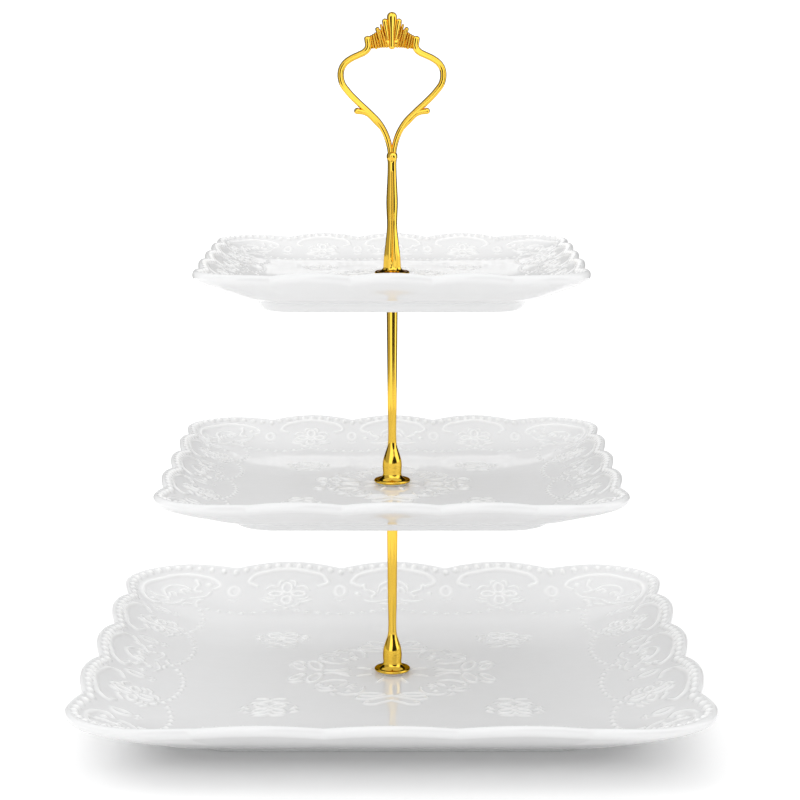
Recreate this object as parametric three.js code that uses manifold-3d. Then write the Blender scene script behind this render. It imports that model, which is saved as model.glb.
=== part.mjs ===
// Three-tier cake stand: square scalloped porcelain plates clamped on a brass stem that
// screws together. Millimetres, +Z up, origin on the table under the stem's axis.

import * as THREE from 'three';
import { mergeVertices } from 'three/addons/utils/BufferGeometryUtils.js';
import Module from 'manifold-3d';

const wasm = await Module();
wasm.setup();

// ---- driving dimensions -------------------------------------------------------------

// footZ is the height of a plate's foot over the table, footAt the foot's outside as a
// share of the half side, and the last four are heights over the foot and a thickness.
const plates = {
  bottom: { half: 153.5, footZ: 0, footAt: 0.655, foot: 4.5, floor: 9.5, rim: 30.5, thick: 4.5 },
  middle: { half: 113.5, footZ: 103, footAt: 0.67, foot: 4, floor: 7, rim: 22.5, thick: 4 },
  top: { half: 94.5, footZ: 207.5, footAt: 0.67, foot: 5, floor: 10, rim: 22.7, thick: 4 },
};

const outline = {
  cornerRadius: 0.25, // these five are shares of a plate's half side
  lobePitch: 0.4,
  notchDepth: 0.03,
  notchDrop: 0.018,
  cornerDrop: 0.01,
  sideSteps: 4, // points along one side lobe
  cornerSteps: 7, // points round one corner lobe
};

const section = {
  floorEdge: 0.5, // shares of the half side
  footWidth: 0.03,
  footSpread: 0.02,
  wallPower: 2.7,
  underPower: 1.5,
  rimInset: 2.2, // from here in millimetres
  lipInset: 1.4,
  rimRound: 2.4,
  rimEdge: 5,
  holeRadius: 4,
};

const gap = 0.3; // between pieces that rest on each other
const pad = { outer: 7.6, inner: 2.6, thick: 0.6 };
const washer = { outer: 8, inner: 2.4, thick: 0.8 };
const thread = { radius: 2, engaged: 9, clearance: 0.3 };
const tang = { radius: 1.5, length: 6 }; // a stud's lower end, fixed in the rod under it
const socketDepth = thread.engaged + 1;
const screwHead = { radius: 4.6, thick: 1.8, chamfer: 0.5 };

const flange = { radius: 9.3, thick: 1.6 };
const rodTopRadius = 2.9;
const roundSteps = 20;

const handle = {
  flangeRadius: 8.8,
  armRadius: 1.65,
  armSteps: 30,
  curlRadius: 1.25,
  curlSteps: 8,
  curlBall: 1.5,
  crownThick: 3.2,
  crownBase: 331.4,
};

const finishes = {
  porcelain: { color: 0xf4f4f2, roughness: 0.12, metalness: 0 },
  gold: { color: 0xe3b02c, roughness: 0.16, metalness: 1 },
  steel: { color: 0xb9bbbe, roughness: 0.35, metalness: 1 },
  softPad: { color: 0xe9e9e4, roughness: 0.6, metalness: 0 },
};

// ---- heights that follow from them --------------------------------------------------

function floorZ(plate) {
  return plate.footZ + plate.floor;
}

function flangeZ(plate) {
  return floorZ(plate) + gap + pad.thick + gap;
}

function undersideZ(plate) {
  return floorZ(plate) - plate.thick;
}

function lowerPadZ(plate) {
  return undersideZ(plate) - gap - pad.thick;
}

function washerZ(plate) {
  return lowerPadZ(plate) - gap - washer.thick;
}

// ---- helpers --------------------------------------------------------------------------

function turned(profile, steps = roundSteps) {
  const points = profile.map(([radius, height]) => new THREE.Vector2(radius, height));
  return new THREE.LatheGeometry(points, steps).rotateX(Math.PI / 2);
}

function tubeAlong(path, radius, sides, steps) {
  const ring = new THREE.Shape();
  for (let i = 0; i < sides; i++) {
    const angle = (i + 0.5) * 2 * Math.PI / sides;
    const point = [radius * Math.cos(angle), radius * Math.sin(angle)];
    if (i === 0) ring.moveTo(...point);
    else ring.lineTo(...point);
  }
  const options = { extrudePath: path, steps, bevelEnabled: false, curveSegments: 1 };
  return new THREE.ExtrudeGeometry(ring, options);
}

function solidOf(geometry) {
  const bare = geometry.clone();
  bare.deleteAttribute('normal');
  bare.deleteAttribute('uv');
  const merged = mergeVertices(bare, 1e-4);
  return new wasm.Manifold(new wasm.Mesh({
    numProp: 3,
    vertProperties: new Float32Array(merged.attributes.position.array),
    triVerts: new Uint32Array(merged.index.array),
  }));
}

function geometryOf(solid) {
  const mesh = solid.getMesh();
  const geometry = new THREE.BufferGeometry();
  geometry.setAttribute('position', new THREE.BufferAttribute(mesh.vertProperties, 3));
  geometry.setIndex(new THREE.BufferAttribute(mesh.triVerts, 1));
  geometry.computeVertexNormals();
  return geometry;
}

function piece(name, geometry, finish, z = 0) {
  const mesh = new THREE.Mesh(geometry, new THREE.MeshStandardMaterial(finishes[finish]));
  mesh.name = name;
  mesh.position.z = z;
  return mesh;
}

// ---- plates ---------------------------------------------------------------------------

// How deep the notch between two lobes is at a distance from it: 1 in the notch, 0 at
// half a side lobe's width and beyond.
function notch(distance) {
  const reach = outline.lobePitch / 2;
  return Math.max(0, 1 - distance / reach) ** 2;
}

// The outline of a plate with half side 1, counter-clockwise from above: on each side
// three lobes, then a wider and slightly lower lobe round the corner.
function outlinePoints() {
  const { cornerRadius, lobePitch, notchDepth, notchDrop, cornerDrop } = outline;
  const { sideSteps, cornerSteps } = outline;
  const straight = 1 - cornerRadius - 1.5 * lobePitch;
  const arc = cornerRadius * Math.PI / 2;
  const cornerLobe = 2 * straight + arc;
  const quarter = [];
  for (let lobe = 0; lobe < 3; lobe++) {
    for (let i = 0; i < sideSteps; i++) {
      const along = i / sideSteps * lobePitch;
      const x = (lobe - 1.5) * lobePitch + along;
      const depth = notch(Math.min(along, lobePitch - along));
      quarter.push({ x, y: -1, nx: 0, ny: -1, inset: depth * notchDepth, drop: depth * notchDrop });
    }
  }
  for (let i = 0; i < cornerSteps; i++) {
    const along = i / cornerSteps * cornerLobe;
    const angle = THREE.MathUtils.clamp((along - straight) / arc, 0, 1) * Math.PI / 2;
    const nx = Math.sin(angle);
    const ny = -Math.cos(angle);
    const before = Math.min(along, straight);
    const after = Math.max(0, along - straight - arc);
    const depth = notch(Math.min(along, cornerLobe - along));
    quarter.push({
      x: 1 - cornerRadius + cornerRadius * nx - straight + before,
      y: -1 + cornerRadius + cornerRadius * ny + after,
      nx,
      ny,
      inset: depth * notchDepth,
      drop: depth * notchDrop + (1 - depth) * cornerDrop,
    });
  }
  const points = [];
  for (let side = 0; side < 4; side++) {
    const c = Math.round(Math.cos(side * Math.PI / 2));
    const s = Math.round(Math.sin(side * Math.PI / 2));
    for (const p of quarter) {
      points.push({
        x: c * p.x - s * p.y,
        y: s * p.x + c * p.y,
        nx: c * p.nx - s * p.ny,
        ny: s * p.nx + c * p.ny,
        inset: p.inset,
        drop: p.drop,
      });
    }
  }
  return points;
}

// A plate's section from the hole's lower edge outwards, up round the rim and back to
// the hole's upper edge: share of the half side, height, and how far the notches reach.
function plateSection(plate) {
  const { half, footAt, foot, floor, rim, thick } = plate;
  const s = section;
  const share = (inset) => 1 - inset / half;
  const wall = (at) => {
    const along = (at - s.floorEdge) / (share(s.rimInset) - s.floorEdge);
    return floor + (rim - floor) * along ** s.wallPower;
  };
  const footInner = footAt - s.footWidth;
  const underStart = footAt + s.footSpread;
  const under = (at) => {
    const along = (at - underStart) / (share(s.lipInset) - underStart);
    return foot + (rim - s.rimEdge - foot) * along ** s.underPower;
  };
  const row = (at, z, reach = 0) => ({ at, z, reach });
  const hole = s.holeRadius / half;
  return [
    row(hole, floor - thick),
    row(footInner - s.footSpread, floor - thick),
    row(footInner, 0),
    row(footAt, 0),
    row(underStart, foot),
    row(0.78, under(0.78)),
    row(0.89, under(0.89), 0.4),
    row(share(s.lipInset), rim - s.rimEdge, 1),
    row(1, rim - s.rimRound, 1),
    row(share(s.rimInset), rim, 1),
    row(0.91, wall(0.91), 0.5),
    row(0.82, wall(0.82)),
    row(0.72, wall(0.72)),
    row(0.62, wall(0.62)),
    row(s.floorEdge, floor),
    row(hole, floor),
    row(hole, floor - thick),
  ];
}

// A turned ring with the plate's section, its points then moved out to the scalloped
// outline. The hole's edge stays round.
function plateGeometry(plate) {
  const { half } = plate;
  const rows = plateSection(plate);
  const around = outlinePoints();
  const geometry = turned(rows.map((r) => [r.at * half, r.z]), around.length);
  const position = geometry.attributes.position;
  for (let i = 0; i < position.count; i++) {
    const p = around[Math.floor(i / rows.length) % around.length];
    const { at, z, reach } = rows[i % rows.length];
    const inHole = at * half <= section.holeRadius;
    const scale = inHole ? section.holeRadius / Math.hypot(p.x, p.y) : at * half;
    const inset = half * p.inset * reach;
    const drop = half * p.drop * reach;
    position.setXYZ(i, p.x * scale - p.nx * inset, p.y * scale - p.ny * inset, z - drop);
  }
  return geometry;
}

// ---- stem: rods, studs, screw, washers and pads ---------------------------------------

function ringGeometry({ outer, inner, thick }) {
  return turned([[inner, 0], [outer, 0], [outer, thick], [inner, thick], [inner, 0]]);
}

// The flared foot of a rod: a dished flange, a skirt and a barrel-shaped bulb.
function rodFoot() {
  const { radius, thick } = flange;
  return [
    [radius - 0.6, 0],
    [radius, 0.5],
    [radius, thick - 0.4],
    [radius - 0.5, thick],
    [radius - 1.3, thick - 0.3],
    [6.2, 2],
    [5.2, 2.9],
    [4.7, 4.2],
    [4.9, 7.5],
    [4.75, 10.5],
    [4.1, 13.5],
    [3.1, 16.5],
    [2.4, 18.8],
    [2.1, 21],
  ];
}

function rodGeometry(length) {
  const bore = thread.radius + thread.clearance;
  const tangBore = tang.radius + thread.clearance;
  const tangDepth = tang.length + gap;
  return turned([
    [0, socketDepth],
    [bore, socketDepth],
    [bore, 0],
    ...rodFoot(),
    [rodTopRadius - 0.15, length * 0.86],
    [rodTopRadius, length - 0.3],
    [rodTopRadius - 0.3, length],
    [tangBore, length],
    [tangBore, length - tangDepth],
    [0, length - tangDepth],
  ]);
}

// A stud from the rod's top end up through a plate into the next socket. Its height is
// counted from the rod's top end.
function studGeometry(reach) {
  const { radius } = thread;
  return turned([
    [0, -tang.length],
    [tang.radius, -tang.length],
    [tang.radius, gap],
    [radius, gap],
    [radius, reach - 0.4],
    [radius - 0.4, reach],
    [0, reach],
  ], 16);
}

// The screw under the bottom plate, head down.
function screwGeometry(shank) {
  const { radius, thick, chamfer } = screwHead;
  return turned([
    [0, 0],
    [radius - chamfer, 0],
    [radius, chamfer],
    [radius, thick],
    [thread.radius, thick],
    [thread.radius, thick + shank - 0.4],
    [thread.radius - 0.4, thick + shank],
    [0, thick + shank],
  ]);
}

function addRod(group, name, plateBelow, plateAbove) {
  const from = flangeZ(plateBelow);
  const top = washerZ(plateAbove) - gap;
  const reach = flangeZ(plateAbove) + thread.engaged - top;
  group.add(piece(`${name}_rod`, rodGeometry(top - from), 'gold', from));
  group.add(piece(`${name}_stud`, studGeometry(reach), 'steel', top));
}

function addClamp(group, name, plate) {
  group.add(piece(`${name}_washer`, ringGeometry(washer), 'gold', washerZ(plate)));
  group.add(piece(`${name}_lower_pad`, ringGeometry(pad), 'softPad', lowerPadZ(plate)));
  group.add(piece(`${name}_upper_pad`, ringGeometry(pad), 'softPad', floorZ(plate) + gap));
}

// ---- handle ---------------------------------------------------------------------------

// Waisted stem on a small flange, with the threaded socket in its foot. Heights are
// counted from the flange's underside.
function handleStem() {
  const bore = thread.radius + thread.clearance;
  const r = handle.flangeRadius;
  return turned([
    [0, socketDepth],
    [bore, socketDepth],
    [bore, 0],
    [r - 0.6, 0],
    [r, 0.5],
    [r, 1.2],
    [r - 0.6, 1.6],
    [6.2, 1.8],
    [5.2, 2.3],
    [4.7, 3.2],
    [4.55, 6.5],
    [4.05, 11.5],
    [3.4, 16.5],
    [2.8, 21.5],
    [2.55, 26.5],
    [2.75, 32],
    [2.9, 37],
    [2.6, 44],
    [2.25, 51],
    [2.25, 57],
    [2.65, 58.4],
    [2.65, 60],
    [2.2, 61.2],
    [0, 61.6],
  ], 16);
}

// One side of the loop: up out of the stem, out to its widest and back in to the crown.
function armPath(side) {
  const route = [
    [0.9, 277.5], [0.95, 281], [1.8, 285.5], [3.5, 290], [6.7, 295], [11.6, 300],
    [17, 305], [21.8, 310], [24.9, 314.5], [25.6, 318.5], [25.1, 321.5], [23.6, 324],
    [19.8, 327.2], [14.8, 329.8], [11.4, 331.6],
  ];
  return new THREE.CatmullRomCurve3(route.map(([x, z]) => new THREE.Vector3(side * x, 0, z)));
}

// The leaf hook on the outside of an arm.
function curlPath(side) {
  const route = [[4.4, 291.5], [7.4, 295], [10.8, 297.9], [14.2, 299.5], [17, 300.6]];
  return new THREE.CatmullRomCurve3(route.map(([x, z]) => new THREE.Vector3(side * x, 0, z)));
}

// Half of the crown's outline, from the tip of the middle lobe to the middle of its
// lower edge. The other half mirrors it.
function crownShape() {
  const half = [
    [0, 349.5], [1.5, 349.1], [2.5, 348], [2.8, 346.4], [3.7, 346.3], [4.7, 345.5],
    [4.9, 344], [5.6, 343.3], [6, 342], [7.3, 342], [8.6, 341.4], [9, 340], [8.9, 338.3],
    [10.4, 337.9], [11, 337], [12.6, 337.4], [13.8, 336.8], [14.1, 335.4], [13.4, 333],
    [13.4, 330.9], [11.4, 329.9], [10.2, 330.8], [9, 331.3], [7.4, 331], [5.8, 331.9],
    [4, 331.9], [1.8, 331.6],
  ];
  const shape = new THREE.Shape();
  shape.moveTo(...half[0]);
  for (const [x, z] of half.slice(1)) shape.lineTo(x, z);
  shape.lineTo(0, handle.crownBase);
  for (const [x, z] of half.slice(1).reverse()) shape.lineTo(-x, z);
  return shape;
}

function crown() {
  const depth = handle.crownThick;
  const plate = new THREE.ExtrudeGeometry(crownShape(), { depth, bevelEnabled: false });
  return plate.rotateX(Math.PI / 2).translate(0, depth / 2, 0);
}

function handleGeometry(baseZ) {
  const { armRadius, armSteps, curlRadius, curlSteps, curlBall } = handle;
  let solid = solidOf(handleStem().translate(0, 0, baseZ)).add(solidOf(crown()));
  for (const side of [-1, 1]) {
    const arm = solidOf(tubeAlong(armPath(side), armRadius, 8, armSteps));
    const curl = solidOf(tubeAlong(curlPath(side), curlRadius, 8, curlSteps));
    const end = curlPath(side).getPoint(1);
    const ball = new THREE.SphereGeometry(curlBall, 10, 6).translate(end.x, end.y, end.z);
    solid = solid.add(arm).add(curl).add(solidOf(ball));
  }
  return geometryOf(solid).translate(0, 0, -baseZ);
}

// ---- assembly -------------------------------------------------------------------------

const group = new THREE.Group();
const { bottom, middle, top } = plates;

for (const [name, plate] of Object.entries(plates)) {
  group.add(piece(`${name}_plate`, plateGeometry(plate), 'porcelain', plate.footZ));
  addClamp(group, name, plate);
}

const screwZ = washerZ(bottom) - gap - screwHead.thick;
const shank = flangeZ(bottom) + thread.engaged - screwZ - screwHead.thick;
group.add(piece('base_screw', screwGeometry(shank), 'steel', screwZ));

addRod(group, 'lower', bottom, middle);
addRod(group, 'upper', middle, top);
group.add(piece('crown_handle', handleGeometry(flangeZ(top)), 'gold', flangeZ(top)));

export default group;
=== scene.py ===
# Three-tier cake stand: scalloped porcelain plates with a lace relief, on a gold stem
# that screws together under an open handle with a crown.
import math

import bpy
import numpy as np
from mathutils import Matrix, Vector


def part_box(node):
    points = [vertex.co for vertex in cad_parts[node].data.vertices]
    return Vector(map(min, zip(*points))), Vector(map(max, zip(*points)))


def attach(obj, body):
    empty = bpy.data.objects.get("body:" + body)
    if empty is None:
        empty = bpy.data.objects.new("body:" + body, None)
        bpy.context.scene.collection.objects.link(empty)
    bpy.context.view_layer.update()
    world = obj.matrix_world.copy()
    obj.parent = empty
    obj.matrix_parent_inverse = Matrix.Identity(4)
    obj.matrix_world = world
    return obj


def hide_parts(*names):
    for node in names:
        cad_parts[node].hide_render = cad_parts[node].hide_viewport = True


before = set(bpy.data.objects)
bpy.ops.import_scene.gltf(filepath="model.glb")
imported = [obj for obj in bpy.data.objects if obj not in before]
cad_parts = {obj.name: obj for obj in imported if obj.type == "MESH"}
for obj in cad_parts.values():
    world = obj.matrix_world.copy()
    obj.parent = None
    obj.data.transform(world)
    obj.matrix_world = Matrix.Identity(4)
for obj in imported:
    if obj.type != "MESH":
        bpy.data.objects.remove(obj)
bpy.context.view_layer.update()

mm = 0.001
gap = 0.3  # what the CAD leaves between pieces that touch
hair = 0.04  # what is left of it each side of a soft pad, drawn at its real thickness


class Wire:
    # one socket of a shader, so that its maths reads as plain expressions
    def __init__(self, finish, socket):
        self.finish = finish
        self.socket = socket

    def maths(self, operation, first, second):
        return self.finish.maths(operation, first, second)

    def __add__(self, other):
        return self.maths("ADD", self, other)

    def __radd__(self, other):
        return self.maths("ADD", other, self)

    def __mul__(self, other):
        return self.maths("MULTIPLY", self, other)

    def __rmul__(self, other):
        return self.maths("MULTIPLY", other, self)


class Finish:
    # a material and the few calls that build it
    def __init__(self, name):
        self.material = bpy.data.materials.new(name)
        self.material.use_nodes = True
        self.tree = self.material.node_tree
        self.tree.nodes.clear()
        self.ends = self.tree.nodes.new("ShaderNodeOutputMaterial")

    def add(self, kind, settings=None, values=None, output=0):
        node = self.tree.nodes.new(kind)
        for key, value in (settings or {}).items():
            if key == "stops":
                self.setStops(node.color_ramp, value)
            else:
                setattr(node, key, value)
        for key, value in (values or {}).items():
            if isinstance(value, Wire):
                self.tree.links.new(value.socket, node.inputs[key])
            else:
                node.inputs[key].default_value = value
        return Wire(self, node.outputs[output])

    def maths(self, operation, first, second):
        return self.add("ShaderNodeMath", {"operation": operation}, {0: first, 1: second})

    def setStops(self, ramp, stops):
        while len(ramp.elements) < len(stops):
            ramp.elements.new(0.5)
        for element, (place, shade) in zip(ramp.elements, stops):
            element.position = place
            element.color = (*shade, 1)

    def ramp(self, share, levels):
        stops = [(place, (level, level, level)) for place, level in levels]
        return self.add("ShaderNodeValToRGB", {"stops": stops}, {"Fac": share})

    def mix(self, share, first, second):
        return self.add(
            "ShaderNodeMix",
            {"data_type": "RGBA", "clamp_factor": True},
            {0: share, 6: first, 7: second},
            output=2,
        )

    def place(self, stretch=(1, 1, 1)):
        spot = self.add("ShaderNodeTexCoord", output="Object")
        return self.add("ShaderNodeMapping", None, {"Vector": spot, "Scale": stretch})

    def noise(self, spot, scale, detail=3, rough=0.5):
        values = {"Vector": spot, "Scale": scale, "Detail": detail, "Roughness": rough}
        return self.add("ShaderNodeTexNoise", None, values, output="Fac")

    def bump(self, height, strength, distance):
        values = {"Height": height, "Strength": strength, "Distance": distance}
        return self.add("ShaderNodeBump", None, values)

    def surface(self, values):
        shader = self.add("ShaderNodeBsdfPrincipled", None, values)
        self.tree.links.new(shader.socket, self.ends.inputs["Surface"])
        return self.material


glaze = {
    "white": (0.785, 0.787, 0.79, 1),
    "paintedLitRelief": (0.92, 0.92, 0.918, 1),  # painted light: the raised lace is painted whiter than the body, as if it caught more light
    "cloudy": (0.76, 0.76, 0.74, 1),
    "cloudShare": 0.06,
    "cloudScale": 14,
    "grainScale": 160,
    "rough": 0.035,
    "coat": 0.12,
    "orangePeel": 0.0006,  # height of the glaze's ripples, in metres
    "peelScale": 90,
}


def makeGlaze():
    f = Finish("glazedPorcelain")
    spot = f.place()
    cloud = f.noise(spot, glaze["cloudScale"], 3)
    grain = f.noise(spot, glaze["grainScale"], 4)
    relief = f.add("ShaderNodeAttribute", {"attribute_name": "relief"}, output="Fac")
    # painted highlight: the higher the lace stands in the relief, the whiter it is painted
    body = f.mix(relief, glaze["white"], glaze["paintedLitRelief"])
    body = f.mix(cloud * glaze["cloudShare"], body, glaze["cloudy"])
    rough = glaze["rough"] + cloud * 0.03 + grain * 0.015
    peel = f.noise(spot, glaze["peelScale"], 2) + grain * 0.15
    return f.surface({
        "Base Color": body,
        "Roughness": rough,
        "IOR": 1.52,
        "Coat Weight": glaze["coat"],
        "Coat Roughness": 0.04,
        "Normal": f.bump(peel, 0.12, glaze["orangePeel"]),
    })


goldPlate = {
    "bright": (1.0, 0.655, 0.095, 1),
    "deep": (0.92, 0.565, 0.055, 1),
    "edge": (0.28, 0.16, 0.03, 1),  # painted shade: a dark brown mirrored at a grazing angle, which darkens the gold's edges
    "rough": 0.06,
}


def makeGold():
    f = Finish("polishedGold")
    spot = f.place()
    cloud = f.noise(spot, 70, 4)
    polish = f.noise(f.place((1, 1, 0.12)), 900, 3)
    tone = f.ramp(cloud, [(0.25, 0.3), (0.75, 0.9)])
    body = f.mix(tone, goldPlate["deep"], goldPlate["bright"])
    rough = goldPlate["rough"] + cloud * 0.04 + polish * 0.04
    return f.surface({
        "Base Color": body,
        "Metallic": 1.0,
        # painted shade: the dark edge tint darkens the gold wherever it is seen edge on
        "Specular Tint": goldPlate["edge"],
        "Roughness": rough,
        "Normal": f.bump(polish + cloud * 0.6, 0.03, 0.00005),
    })


zinc = {
    "light": (0.62, 0.63, 0.64, 1),
    "dull": (0.40, 0.41, 0.43, 1),
    "rough": 0.26,
}


def makeZinc():
    f = Finish("zincPlatedSteel")
    spot = f.place()
    cloud = f.noise(spot, 220, 4)
    grain = f.noise(f.place((1, 1, 8)), 500, 2)
    body = f.mix(cloud, zinc["dull"], zinc["light"])
    rough = zinc["rough"] + grain * 0.18
    return f.surface({
        "Base Color": body,
        "Metallic": 1.0,
        "Roughness": rough,
        "Normal": f.bump(grain, 0.15, 0.0001),
    })


silicone = {
    "clear": (0.86, 0.86, 0.84, 1),
    "cloudy": (0.74, 0.74, 0.71, 1),
    "rough": 0.42,
}


def makeSilicone():
    f = Finish("softSilicone")
    spot = f.place()
    cloud = f.noise(spot, 300, 3)
    dust = f.noise(spot, 1800, 2)
    body = f.mix(cloud, silicone["cloudy"], silicone["clear"])
    rough = silicone["rough"] + dust * 0.25
    return f.surface({
        "Base Color": body,
        "Roughness": rough,
        "IOR": 1.41,
        "Subsurface Weight": 0.3,
        "Subsurface Scale": 0.001,
        "Normal": f.bump(dust, 0.2, 0.00005),
    })


finishes = {
    "porcelain": makeGlaze(),
    "gold": makeGold(),
    "steel": makeZinc(),
    "soft_pad": makeSilicone(),
}
print("finishes: glaze, gold, zinc and silicone")


def makePiece(name, points, faces, body, node, slotName, marks=None):
    mesh = bpy.data.meshes.new(name)
    mesh.from_pydata((np.asarray(points) * mm).tolist(), [], faces)
    for mark, values in (marks or {}).items():
        layer = mesh.attributes.new(mark, "FLOAT", "POINT")
        layer.data.foreach_set("value", np.asarray(values, np.float32))
    mesh.shade_smooth()
    mesh.materials.append(finishes[slotName])
    piece = bpy.data.objects.new(name, mesh)
    bpy.context.scene.collection.objects.link(piece)
    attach(piece, body)
    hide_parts(node)
    return piece


def nodeBox(node):
    low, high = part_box(node)
    return np.array(low) / mm, np.array(high) / mm


def curveThrough(points, step):
    # a smooth curve through the points, close to one point every step
    p = np.asarray(points, float)
    lengths = np.linalg.norm(np.diff(p, axis=0), axis=1)
    knots = np.concatenate([[0], np.cumsum(lengths)])
    slopes = np.zeros_like(p)
    for i in range(1, len(p) - 1):
        before = (p[i] - p[i - 1]) / lengths[i - 1]
        after = (p[i + 1] - p[i]) / lengths[i]
        total = lengths[i - 1] + lengths[i]
        slopes[i] = (before * lengths[i] + after * lengths[i - 1]) / total
    slopes[0] = (p[1] - p[0]) / lengths[0]
    slopes[-1] = (p[-1] - p[-2]) / lengths[-1]
    count = max(2, int(round(knots[-1] / step)) + 1)
    at = np.linspace(0, knots[-1], count)
    seg = np.clip(np.searchsorted(knots, at, side="right") - 1, 0, len(p) - 2)
    h = lengths[seg][:, None]
    t = ((at - knots[seg]) / lengths[seg])[:, None]
    return (
        (2 * t**3 - 3 * t**2 + 1) * p[seg]
        + (t**3 - 2 * t**2 + t) * h * slopes[seg]
        + (3 * t**2 - 2 * t**3) * p[seg + 1]
        + (t**3 - t**2) * h * slopes[seg + 1]
    )


def softened(profile, most, passes=2):
    # cuts each corner back, by at most that much
    points = [np.asarray(p, float) for p in profile]
    for _ in range(passes):
        cut = [points[0]]
        for before, here, after in zip(points, points[1:], points[2:]):
            toBefore = before - here
            toAfter = after - here
            a = np.linalg.norm(toBefore)
            b = np.linalg.norm(toAfter)
            cut.append(here + toBefore / a * min(a / 4, most))
            cut.append(here + toAfter / b * min(b / 4, most))
        cut.append(points[-1])
        points = cut
        most = most / 2
    return points


def spin(profile, sides, reshape=None, closed=False):
    # turns a profile of (radius, height) round Z
    turn = np.arange(sides) * 2 * math.pi / sides
    points = []
    rows = []
    for radius, height in profile:
        start = len(points)
        if radius < 1e-6:
            points.append((0, 0, height))
            rows.append([start])
            continue
        around = np.full(sides, float(radius))
        if reshape:
            around = reshape(radius, height, turn)
        points += list(zip(around * np.cos(turn), around * np.sin(turn), [height] * sides))
        rows.append(list(range(start, start + sides)))
    pairs = list(zip(rows, rows[1:]))
    if closed:
        pairs.append((rows[-1], rows[0]))
    faces = []
    for low, high in pairs:
        for i in range(sides):
            j = (i + 1) % sides
            if len(low) == 1 and len(high) == 1:
                continue
            if len(low) == 1:
                faces.append([low[0], high[j], high[i]])
            elif len(high) == 1:
                faces.append([low[i], low[j], high[0]])
            else:
                faces.append([low[i], low[j], high[j], high[i]])
    return np.array(points), faces


def sweep(path, across, deep, sides, groove=0.0):
    # a bar along a path in the XZ plane, grooved down its front and back; its ends are closed
    path = np.asarray(path, float)
    along = np.gradient(path, axis=0)
    along /= np.linalg.norm(along, axis=1)[:, None]
    out = np.stack([along[:, 2], np.zeros(len(path)), -along[:, 0]], axis=1)
    turn = (np.arange(sides) + 0.5) * 2 * math.pi / sides
    swell = 1 - groove * np.maximum(0, 1 - np.abs(turn % math.pi - math.pi / 2) / 0.55) ** 1.5
    points = []
    for i in range(len(path)):
        for k in range(sides):
            sideways = out[i] * across[i] * math.cos(turn[k]) * swell[k]
            towards = np.array([0, deep[i] * math.sin(turn[k]) * swell[k], 0])
            points.append(path[i] + sideways + towards)
    faces = []
    for i in range(len(path) - 1):
        for k in range(sides):
            a = i * sides + k
            b = i * sides + (k + 1) % sides
            faces.append([a, b, b + sides, a + sides])
    faces.append(list(range(sides))[::-1])
    last = (len(path) - 1) * sides
    faces.append(list(range(last, last + sides)))
    return np.array(points), faces


def joined(parts):
    points = []
    faces = []
    count = 0
    for partPoints, partFaces in parts:
        points.append(partPoints)
        faces += [[i + count for i in face] for face in partFaces]
        count += len(partPoints)
    return np.concatenate(points), faces


# Each plate is one profile, walked round the scalloped outline with the lace raised on it.

plates = {
    "bottom": {
        "body": "bottom_tier", "footAt": 0.655, "foot": 4.5, "floor": 9.5, "thick": 4.5,
        "sideSteps": 120, "cornerSteps": 180, "relief": 0.78,
    },
    "middle": {
        "body": "middle_tier", "footAt": 0.67, "foot": 4, "floor": 7, "thick": 4,
        "sideSteps": 80, "cornerSteps": 120, "relief": 0.72,
    },
    "top": {
        "body": "top_tier", "footAt": 0.67, "foot": 5, "floor": 10, "thick": 4,
        "sideSteps": 80, "cornerSteps": 120, "relief": 0.66,
    },
}

scallops = {  # shares of a plate's half side
    "cornerRadius": 0.25,
    "pitch": 0.4,
    "depth": 0.03,
    "drop": 0.018,
    "cornerDrop": 0.01,
    "soft": 0.008,  # how far the cusp of a notch is softened
}

plateShape = {
    "floorEdge": 0.5,
    "wallEdge": 0.986,
    "footWidth": 0.03,
    "footSpread": 0.02,
    "wallPower": 2.7,
    "underPower": 1.5,
    "hole": 4.0,
    "lip": 5.0,  # how far below the rim the underside ends
    "lipInset": 1.4,
}

# From which share of the half side a step or a thinning holds, the outermost first.
plateRows = {
    "topSteps": [(0.975, 0.38), (0.66, 0.60), (0.50, 1.2), (0, 0.72)],
    "underSteps": [(0.975, 0.38), (0.70, 1.5), (0.60, 0.55), (0, 4.0)],
    "topThinning": [(0.80, 1), (0.28, 2), (0, 4)],  # one point of how many round the plate
    "underThinning": [(0.965, 1), (0.58, 2), (0, 4)],
}


def notchDepth(distance):
    soft = scallops["soft"]
    reach = scallops["pitch"] / 2
    distance = np.sqrt(np.asarray(distance, float) ** 2 + soft**2) - soft
    return np.maximum(0, 1 - distance / reach) ** 2


def cornerPlace(along):
    # place and outward direction on the outline round the corner at +X -Y
    radius = scallops["cornerRadius"]
    straight = 1 - radius - 1.5 * scallops["pitch"]
    arc = radius * math.pi / 2
    angle = np.clip((along - straight) / arc, 0, 1) * math.pi / 2
    nx = np.sin(angle)
    ny = -np.cos(angle)
    x = 1 - radius + radius * nx - straight + np.minimum(along, straight)
    y = -1 + radius + radius * ny + np.maximum(0, along - straight - arc)
    return x, y, nx, ny, 2 * straight + arc


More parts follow.
